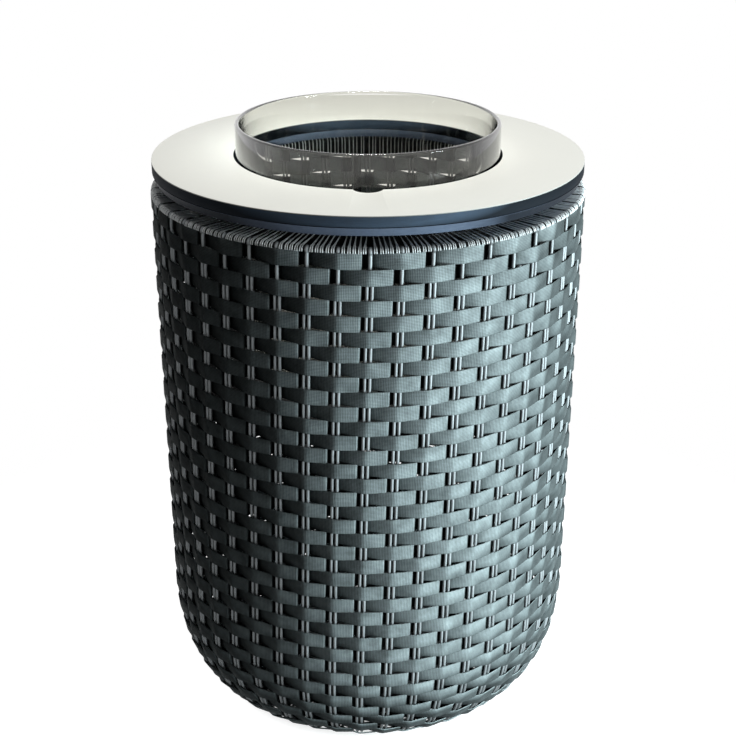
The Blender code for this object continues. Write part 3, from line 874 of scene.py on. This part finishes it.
def extruded_lines(group, given):
    """Cross ribs and lengthwise lines of an extruded strap or cord, from its map in metres."""
    wobble = noise(group, given["Vector"], 260.0, 1.0)
    stray = maths(group, "MULTIPLY_ADD", wobble, 2.4, -1.2)
    spot = parts_of(group, given["Vector"])

    def wave(distance, pitch):
        phase = times(group, maths(group, "DIVIDE", distance, pitch), TURN)
        bent = maths(group, "ADD", phase, stray)
        return maths(group, "MULTIPLY_ADD", maths(group, "SINE", bent), 0.5, 0.5)

    ribs = times(group, wave(spot["X"], given["Rib Pitch"]), given["Rib Share"])
    rest = maths(group, "SUBTRACT", 1.0, given["Rib Share"])
    lines = times(group, wave(spot["Y"], given["Line Pitch"]), rest)
    height = maths(group, "ADD", ribs, lines)
    return {"Height": height, "Groove": maths(group, "SUBTRACT", 1.0, height)}


def edge_wear(group, given):
    """Rubbed edges, from the sharpness of the surface broken up by noise."""
    form = add(group, "ShaderNodeNewGeometry")
    sharp = ranged(group, form.outputs["Pointiness"], 0.51, 0.58, 0.0, 1.0)
    patches = noise(group, given["Vector"], given["Scale"], 4.0)
    broken = ranged(group, patches, 0.42, 0.62, 0.0, 1.0)
    return {"Mask": times(group, sharp, broken, given["Amount"])}


def settled_dust(group, given):
    """A thin film of dust on what faces up, broken up by noise."""
    form = add(group, "ShaderNodeNewGeometry")
    upward = ranged(group, parts_of(group, form.outputs["Normal"])["Z"], 0.2, 1.0, 0.0, 1.0)
    patches = noise(group, given["Vector"], given["Scale"], 5.0, 0.65)
    patchy = ranged(group, patches, 0.35, 0.75, 0.2, 1.0)
    return {"Mask": times(group, upward, patchy, given["Amount"])}


# Each shared effect: its maker, and its inputs with their defaults.
EFFECTS = {
    "Fine grain": (grain, {"Scale": 300.0, "Contrast": 0.1}),
    "Extruded lines": (
        extruded_lines,
        {"Rib Pitch": 0.0014, "Line Pitch": 0.0009, "Rib Share": 0.6},
    ),
    "Edge wear": (edge_wear, {"Amount": 0.5, "Scale": 120.0}),
    "Settled dust": (settled_dust, {"Amount": 0.2, "Scale": 40.0}),
}


def effect(tree, name, vector, **values):
    """The outputs of a shared effect, which is built once, placed here with its own values."""
    made = tree.nodes.new("ShaderNodeGroup")
    made.node_tree = bpy.data.node_groups.get(name) or new_group(name, *EFFECTS[name])
    wire(tree, made, Vector=vector, **values)
    return made.outputs


# Finishes

FIBRE_DUST = (0.22, 0.22, 0.21, 1)
COAT_DUST = (0.20, 0.20, 0.19, 1)
COAT_WORN = (0.05, 0.05, 0.05, 1)


def new_material(name, colour, maker, values):
    """A material whose maker wires its Principled shader from the object's own coordinates."""
    material = bpy.data.materials.new(name)
    material.use_nodes = True
    material.diffuse_color = (*colour, 1)
    tree = material.node_tree
    place_of = tree.nodes.new("ShaderNodeTexCoord").outputs["Object"]
    maker(tree, tree.nodes["Principled BSDF"], place_of, colour, **values)
    return material


def lay_map(tree):
    """The map laid on a strap or strand, in metres along it and across it."""
    return add(tree, "ShaderNodeUVMap", {"uv_map": "Lay"}).outputs["UV"]


def grains(tree, place_of, *kinds):
    """A fine and a broad grain, each given by scale and contrast, and the shade of the two."""
    fine, broad = (
        effect(tree, "Fine grain", place_of, Scale=scale, Contrast=contrast)
        for scale, contrast in kinds
    )
    return fine, broad, times(tree, fine["Shade"], broad["Shade"])


def drawn_out(tree, place_of, upright):
    """Coordinates scaled along the upright axis."""
    return add(tree, "ShaderNodeMapping", Vector=place_of, Scale=(1.0, 1.0, upright)).outputs[0]


def dusted(tree, place_of, base, dust, amount, scale):
    """A colour under a film of dust."""
    film = effect(tree, "Settled dust", place_of, Amount=amount, Scale=scale)
    return mixed(tree, film["Mask"], base, dust)


def strap_finish(tree, shader, place_of, colour):
    """Extruded strap with cross ribs, fine lengthwise lines, a satin face and painted light and
    shade.
    """
    lay = lay_map(tree)
    lines = effect(tree, "Extruded lines", lay, Rib_Pitch=0.0014, Line_Pitch=0.00125, Rib_Share=0.5)
    tone = effect(tree, "Fine grain", place_of, Scale=55.0, Contrast=0.50)
    speck = effect(tree, "Fine grain", lay, Scale=1500.0, Contrast=0.12)
    # Painted light and shade on the ribs: their crests lightened and the grooves between them
    # darkened.
    rib_light_and_shade = maths(tree, "MULTIPLY_ADD", lines["Groove"], -1.15, 1.53)
    # Painted shade: the tucked-in part of the strap is darkened, by the value kept on its points.
    tuck = add(tree, "ShaderNodeAttribute", {"attribute_name": "Tuck"}).outputs["Fac"]
    open_to_light = maths(tree, "MULTIPLY_ADD", tuck, -0.96, 1.0)
    # Painted shade: the strap is darkened where it is seen side-on, along the wall.
    seen = ranged(tree, side_on(tree), 0.25, 0.56, 1.0, 0.24)
    lit = times(tree, tone["Shade"], speck["Shade"], rib_light_and_shade, open_to_light, seen)
    along = add(tree, "ShaderNodeTangent", {"direction_type": "UV_MAP", "uv_map": "Lay"})
    wire(
        tree, shader,
        Base_Color=dusted(tree, place_of, scaled(tree, colour, lit), FIBRE_DUST, 0.10, 60.0),
        Roughness=ranged(tree, lines["Height"], 0.0, 1.0, 0.55, 0.48),
        Normal=bump(tree, lines["Height"], 1.0, 0.00018),
        Specular_IOR_Level=0.006,
        Anisotropic=0.3,
        Anisotropic_Rotation=0.25,
        Tangent=along.outputs[0],
    )


def cord_finish(tree, shader, place_of, colour, rough, shine, pearl, side_start, flank):
    """Smooth extruded cord with a pearly pigment, faint draw lines along it and painted shade on
    its flanks.

    pearl is the share of pearly pigment, side_start how far the cord turns from the view before its
    painted shade begins, and flank how much of the colour the painted shade leaves where it is
    side-on.
    """
    lines = effect(
        tree, "Extruded lines", lay_map(tree), Rib_Pitch=0.0031, Line_Pitch=0.0012, Rib_Share=0.25
    )
    tone = effect(tree, "Fine grain", place_of, Scale=55.0, Contrast=0.30)
    # Painted shade on the flanks that are seen side-on.
    seen = ranged(tree, side_on(tree), side_start, side_start + 0.5, 1.0, flank)
    base = scaled(tree, colour, times(tree, tone["Shade"], seen))
    wire(
        tree, shader,
        Base_Color=dusted(tree, place_of, base, FIBRE_DUST, 0.12, 60.0),
        Roughness=ranged(tree, tone["Height"], 0.3, 0.7, rough, rough + 0.12),
        Normal=bump(tree, lines["Height"], 0.35, 0.00006),
        Specular_IOR_Level=shine,
        Metallic=pearl,
    )


def laminate_finish(tree, shader, place_of, colour):
    """Pale laminate with a faint speckle, a silky face and painted shade on its cut edges."""
    fine, broad, shade = grains(tree, place_of, (900.0, 0.018), (9.0, 0.025))
    # Painted shade: the face is darkened where it turns away from facing up, on its cut edges.
    up = parts_of(tree, add(tree, "ShaderNodeNewGeometry").outputs["Normal"])["Z"]
    shade = times(tree, shade, ranged(tree, up, 0.0, 0.8, 0.2, 1.0))
    wire(
        tree, shader,
        Base_Color=scaled(tree, colour, shade),
        Roughness=ranged(tree, broad["Height"], 0.3, 0.7, 0.42, 0.54),
        Normal=bump(tree, fine["Height"], 0.25, 0.00003),
    )


def core_finish(tree, shader, place_of, colour, worn_colour, rough, side_start):
    """Dense dark board edge with faint saw marks, slightly rubbed corners and painted side-on
    shade.

    side_start is how far the edge turns from the view before the painted shade begins.
    """
    layers = effect(tree, "Fine grain", drawn_out(tree, place_of, 14.0), Scale=90.0, Contrast=0.22)
    fine = effect(tree, "Fine grain", place_of, Scale=1200.0, Contrast=0.10)
    base = scaled(tree, colour, times(tree, layers["Shade"], fine["Shade"]))
    wear = effect(tree, "Edge wear", place_of, Amount=0.35, Scale=160.0)
    worn = mixed(tree, wear["Mask"], base, (*worn_colour, 1))
    # Painted shade: the edge is darkened where it is seen side-on, along the edge.
    seen = ranged(tree, side_on(tree), side_start, side_start + 0.16, 1.0, 0.10)
    wire(
        tree, shader,
        Base_Color=mixed(tree, 1.0, worn, seen, "MULTIPLY"),
        Roughness=ranged(tree, layers["Height"], 0.3, 0.7, rough - 0.05, rough + 0.07),
        Normal=bump(tree, fine["Height"], 0.3, 0.00004),
        Specular_IOR_Level=0.04,
        Metallic=0.25,
    )


def coated_finish(tree, shader, place_of, colour, rough, scale):
    """Powder coat, moulded plastic or rubber: fine grain, rubbed edges and a little dust."""
    fine, broad, shade = grains(tree, place_of, (scale, 0.16), (24.0, 0.14))
    wear = effect(tree, "Edge wear", place_of, Amount=0.4, Scale=140.0)
    worn = mixed(tree, wear["Mask"], scaled(tree, colour, shade), COAT_WORN)
    wire(
        tree, shader,
        Base_Color=dusted(tree, place_of, worn, COAT_DUST, 0.10, 50.0),
        Roughness=ranged(tree, broad["Height"], 0.3, 0.7, rough - 0.06, rough + 0.08),
        Normal=bump(tree, fine["Height"], 0.4, 0.00008),
        Specular_IOR_Level=0.12,
    )


def steel_finish(tree, shader, place_of, colour):
    """Zinc-plated screw steel with a mottled shine."""
    fine, broad, shade = grains(tree, place_of, (700.0, 0.12), (120.0, 0.20))
    wire(
        tree, shader,
        Base_Color=scaled(tree, colour, shade),
        Metallic=1.0,
        Roughness=ranged(tree, broad["Height"], 0.3, 0.7, 0.26, 0.44),
        Normal=bump(tree, fine["Height"], 0.2, 0.00003),
    )


def clear_finish(tree, shader, place_of, colour):
    """Clear acrylic with faint wipe marks, which lets the lamps' light through."""
    marks = effect(tree, "Fine grain", drawn_out(tree, place_of, 0.2), Scale=26.0, Contrast=0.05)
    wire(
        tree, shader,
        Base_Color=(*colour, 1),
        Transmission_Weight=1.0,
        IOR=1.49,
        # A polished skin, which shines more where the wall is seen side-on.
        Coat_Weight=ranged(tree, side_on(tree), 0.25, 0.60, 0.0, 1.0),
        Coat_Roughness=0.01,
        Coat_IOR=2.3,
        Roughness=ranged(tree, marks["Height"], 0.45, 0.75, 0.0, 0.035),
    )
    through = add(tree, "ShaderNodeBsdfTransparent", Color=(0.93, 0.95, 0.95, 1))
    shadow = add(tree, "ShaderNodeLightPath").outputs["Is Shadow Ray"]
    layered(tree, shadow, shader, through, "Material Output")


def floor_finish(tree, shader, place_of, colour):
    """Pale matt floor that shines white except under the object, and fades out far from it."""
    fine = effect(tree, "Fine grain", place_of, Scale=30.0, Contrast=0.01)
    spot = parts_of(tree, place_of)
    squares = [maths(tree, "POWER", spot[axis], 2.0) for axis in "XY"]
    away = maths(tree, "SQRT", maths(tree, "ADD", *squares))
    # It shines white in what the camera sees, except under the object.
    clear = ranged(tree, away, 0.105, 0.160, 0.0, 1.0)
    # From below the floor is not there, so that the underside can be looked at.
    below = add(tree, "ShaderNodeNewGeometry").outputs["Backfacing"]
    fade = ranged(tree, away, 0.28, 0.62, 1.0, 0.0)
    wire(
        tree, shader,
        Base_Color=scaled(tree, colour, fine["Shade"]),
        Roughness=0.9,
        Specular_IOR_Level=0.1,
        Emission_Color=(1, 1, 1, 1),
        Emission_Strength=times(tree, seen_rays(tree), clear),
        Alpha=times(tree, fade, maths(tree, "SUBTRACT", 1.0, below)),
    )


# Each finish: its maker, the setting that holds its colour, and its own values.
FINISHES = {
    "strap_fibre": (strap_finish, "strap", {}),
    "cord_fibre": (
        cord_finish,
        "cord",
        {"rough": 0.52, "shine": 0.24, "pearl": 0.24, "side_start": 0.12, "flank": 0.28},
    ),
    "strand_fibre": (
        cord_finish,
        "strand",
        {"rough": 0.32, "shine": 0.60, "pearl": 0.12, "side_start": 0.5, "flank": 0.3},
    ),
    "laminate_face": (laminate_finish, "laminate", {}),
    "board_core": (
        core_finish,
        "core",
        {"worn_colour": (0.05, 0.055, 0.07), "rough": 0.66, "side_start": 0.10},
    ),
    "ring_board": (
        core_finish,
        "ring",
        {"worn_colour": (0.16, 0.19, 0.24), "rough": 0.50, "side_start": 0.31},
    ),
    "frame_coat": (coated_finish, "frame_coat", {"rough": 0.48, "scale": 800.0}),
    "pad_rubber": (coated_finish, "rubber", {"rough": 0.78, "scale": 1100.0}),
    "plated_steel": (steel_finish, "steel", {}),
    "clear_acrylic": (clear_finish, "clear", {}),
}


def finish_of(name):
    """A finish by name, built the first time that it is asked for."""
    maker, setting, values = FINISHES[name]
    colour = tuple(getattr(bpy.context.scene.cooler_finish, setting))
    return bpy.data.materials.get(name) or new_material(name, colour, maker, values)


def place(mesh, body, finish, slot, *nodes):
    """The mesh as a piece that rides on the body in its finish and stands for the nodes named."""
    obj = new_object(mesh.name, mesh)
    obj.data.materials.append(finish_of(finish))
    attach(obj, body)
    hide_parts(*nodes)


# Operators


class COOLER_OT_straps(bpy.types.Operator):
    """Weave the flat straps round the wall"""

    bl_idname = "cooler.straps"
    bl_label = "Woven straps"

    def execute(self, context):
        wall, straps = context.scene.cooler_wall, context.scene.cooler_straps
        rows = round(WallLine(wall).length / straps.pitch)
        cuts = (0, rows // 3, 2 * rows // 3, rows)
        names = ("straps_upper", "straps_middle", "straps_lower")
        for name, first, last in zip(names, cuts[:-1], cuts[1:]):
            mesh = strap_rows(name, wall, straps, first, last)
            place(mesh, "basket", "strap_fibre", "woven_fibre", "basket_wall")
        return {"FINISHED"}


class COOLER_OT_cords(bpy.types.Operator):
    """Stand the pairs of cords in the weave and end each pair at the rim"""

    bl_idname = "cooler.cords"
    bl_label = "Stake cords"

    def execute(self, context):
        scene = context.scene
        wall, straps, cords = scene.cooler_wall, scene.cooler_straps, scene.cooler_cords
        pairs = cord_mesh(wall, straps, cords)
        place(pairs, "basket", "cord_fibre", "woven_fibre", "basket_wall")
        ends = stake_end_mesh(wall, straps, cords, scene.cooler_rim)
        place(ends, "basket", "cord_fibre", "woven_fibre", "basket_wall")
        return {"FINISHED"}


class COOLER_OT_rim(bpy.types.Operator):
    """Wind the thin strands over the rim"""

    bl_idname = "cooler.rim"
    bl_label = "Rim strands"

    def execute(self, context):
        strands = rim_mesh(context.scene.cooler_wall, context.scene.cooler_rim)
        place(strands, "basket", "strand_fibre", "woven_fibre", "rim_wrap")
        return {"FINISHED"}


class COOLER_OT_tabletop(bpy.types.Operator):
    """Lay the tabletop's pale face on its dark core, over its ring"""

    bl_idname = "cooler.tabletop"
    bl_label = "Tabletop"

    def execute(self, context):
        top = context.scene.cooler_top
        # Where one layer lies on another its edge is nearly sharp.
        at_seam, under_board = 0.0001, 0.0002
        ease, taper = top.easing, top.ring_taper
        seam = BOARD_TOP - top.face
        face = plate_mesh("tabletop_face", top, seam, BOARD_TOP, 0, at_seam, ease)
        place(face, "tabletop", "laminate_face", "laminate", "tabletop_board")
        core = plate_mesh("tabletop_core", top, BOARD_BOTTOM, seam, 0, ease, at_seam)
        place(core, "tabletop", "board_core", "laminate", "tabletop_board")
        ring = plate_mesh("tabletop_ring", top, RING_BOTTOM, RING_TOP, taper, ease, under_board)
        place(ring, "tabletop", "ring_board", "ring_core", "under_ring")
        return {"FINISHED"}


class COOLER_OT_bucket(bpy.types.Operator):
    """Set in the clear bucket"""

    bl_idname = "cooler.bucket"
    bl_label = "Clear bucket"

    def execute(self, context):
        shell = bucket_mesh(context.scene.cooler_bucket)
        place(shell, "bucket", "clear_acrylic", "acrylic", "bucket_wall", "bucket_floor")
        return {"FINISHED"}


class COOLER_OT_frame(bpy.types.Operator):
    """Finish the solids that stay: the frame, the pads, the blocks and the screws"""

    bl_idname = "cooler.frame"
    bl_label = "Frame finishes"

    def execute(self, context):
        finishes = {
            "frame_metal": "frame_coat",
            "rubber": "pad_rubber",
            "screw_steel": "plated_steel",
            "ring_core": "ring_board",
            "laminate": "board_core",
            "woven_fibre": "cord_fibre",
            "acrylic": "clear_acrylic",
        }
        for entry in frame["record"]["subparts"]:
            solid = frame["nodes"][entry["node"]]
            material = finish_of(finishes[entry["material_slot"]])
            for filled in solid.material_slots:
                filled.material = material
        return {"FINISHED"}


def beside(degrees, away, height):
    """A spot at a distance from the axis, that many degrees from the front towards the right."""
    turn = math.radians(degrees)
    return away * math.sin(turn), -away * math.cos(turn), height


def soft_lamp(name, spot, aim_height, size, power, colour):
    """A soft rectangular lamp that looks at a point on the axis."""
    data = bpy.data.lights.new(name, "AREA")
    data.shape = "RECTANGLE"
    data.size, data.size_y = size
    data.energy = power
    data.color = colour
    lamp = new_object(name, data)
    lamp.location = spot
    lamp.visible_camera = False
    away = np.array(spot) - np.array((0, 0, aim_height))
    flat = math.hypot(away[0], away[1])
    lamp.rotation_euler = (math.atan2(flat, away[2]), 0, math.atan2(away[0], -away[1]))


class COOLER_OT_stage(bpy.types.Operator):
    """Set the floor, the lamps and the camera"""

    bl_idname = "cooler.stage"
    bl_label = "Stage"

    def execute(self, context):
        scene = context.scene
        stage = scene.cooler_stage
        scene.view_settings.view_transform = "Standard"
        self.floor()
        self.world(scene, stage.ambient)
        warm, cool, pale = (1, 0.995, 0.98), (0.80, 0.96, 1.0), (0.9, 0.97, 1.0)
        soft_lamp("overhead_lamp", (0, 0.05, 2.0), 0.5, (0.4, 0.4), stage.overhead_watts, warm)
        low = beside(68, 1.1, 0.20)
        soft_lamp("window_lamp", low, 0.25, (0.5, 0.34), stage.window_watts, cool)
        high = beside(56, 1.6, 0.8)
        soft_lamp("fill_lamp", high, 0.5, (0.35, 0.35), stage.fill_watts, pale)
        data = bpy.data.cameras.new("camera")
        data.lens = stage.camera_lens
        data.sensor_width = 36
        camera = new_object("camera", data)
        camera.location = (0, -stage.camera_distance, stage.camera_height)
        camera.rotation_euler = (math.pi / 2 - stage.camera_tilt, 0, 0)
        scene.camera = camera
        return {"FINISHED"}

    def floor(self):
        """A pale round floor, far wider than the table."""
        sides = 96
        sizes = (0.001, 0.4, 0.8, 1.2)
        turn = np.arange(sides) * TURN / sides
        points = np.concatenate([turned(np.full(sides, size), turn, 0.0) for size in sizes])
        number = np.arange(len(points)).reshape(len(sizes), sides)
        here, ahead = number[:-1], number[1:]
        quads = np.stack([here, np.roll(here, -1, 1), np.roll(ahead, -1, 1), ahead], -1)
        quads = quads.reshape(-1, 4)[:, ::-1]
        made = new_object("floor", mesh_of("floor", points, [quads, number[0][None]]))
        made.data.materials.append(new_material("pale_floor", (0.5, 0.5, 0.5), floor_finish, {}))

    def world(self, scene, ambient):
        """White surroundings to the camera, and a weak even light on the object."""
        scene.world = bpy.data.worlds.new("surroundings")
        scene.world.use_nodes = True
        tree = scene.world.node_tree
        dim = tree.nodes["Background"]
        wire(tree, dim, Color=(0.95, 0.98, 1.0, 1), Strength=ambient)
        white = add(tree, "ShaderNodeBackground", Color=(1, 1, 1, 1), Strength=1.0)
        layered(tree, seen_rays(tree), dim, white, "World Output")


OPERATORS = (
    COOLER_OT_straps,
    COOLER_OT_cords,
    COOLER_OT_rim,
    COOLER_OT_tabletop,
    COOLER_OT_bucket,
    COOLER_OT_frame,
    COOLER_OT_stage,
)
GROUPS = (
    COOLER_PG_wall,
    COOLER_PG_straps,
    COOLER_PG_cords,
    COOLER_PG_rim,
    COOLER_PG_top,
    COOLER_PG_bucket,
    COOLER_PG_finish,
    COOLER_PG_stage,
)
SETTINGS = {group.__name__.replace("COOLER_PG", "cooler"): group for group in GROUPS}


class COOLER_PT_panel(bpy.types.Panel):
    """Lists the pieces of the cooler table and their sizes"""

    bl_idname = "COOLER_PT_panel"
    bl_label = "Cooler table"
    bl_space_type = "VIEW_3D"
    bl_region_type = "UI"
    bl_category = "Cooler table"

    def draw(self, context):
        layout = self.layout
        for operator in OPERATORS:
            layout.operator(operator.bl_idname)
        for name in SETTINGS:
            group = getattr(context.scene, name)
            box = layout.box()
            box.label(text=name.replace("cooler_", "").capitalize())
            for key in group.bl_rna.properties.keys():
                if key not in ("rna_type", "name"):
                    box.prop(group, key)


CLASSES = (*GROUPS, *OPERATORS, COOLER_PT_panel)


def register():
    """Make the settings, the operators and the panel known to Blender."""
    for known in CLASSES:
        bpy.utils.register_class(known)
    for name, group in SETTINGS.items():
        setattr(bpy.types.Scene, name, PointerProperty(type=group))


def unregister():
    """Take them out again."""
    for name in SETTINGS:
        delattr(bpy.types.Scene, name)
    for known in reversed(CLASSES):
        bpy.utils.unregister_class(known)


def main():
    """Build every piece in order."""
    register()
    bpy.ops.cooler.straps()
    bpy.ops.cooler.cords()
    bpy.ops.cooler.rim()
    bpy.ops.cooler.tabletop()
    bpy.ops.cooler.bucket()
    bpy.ops.cooler.frame()
    bpy.ops.cooler.stage()


if __name__ == "__main__":
    main()
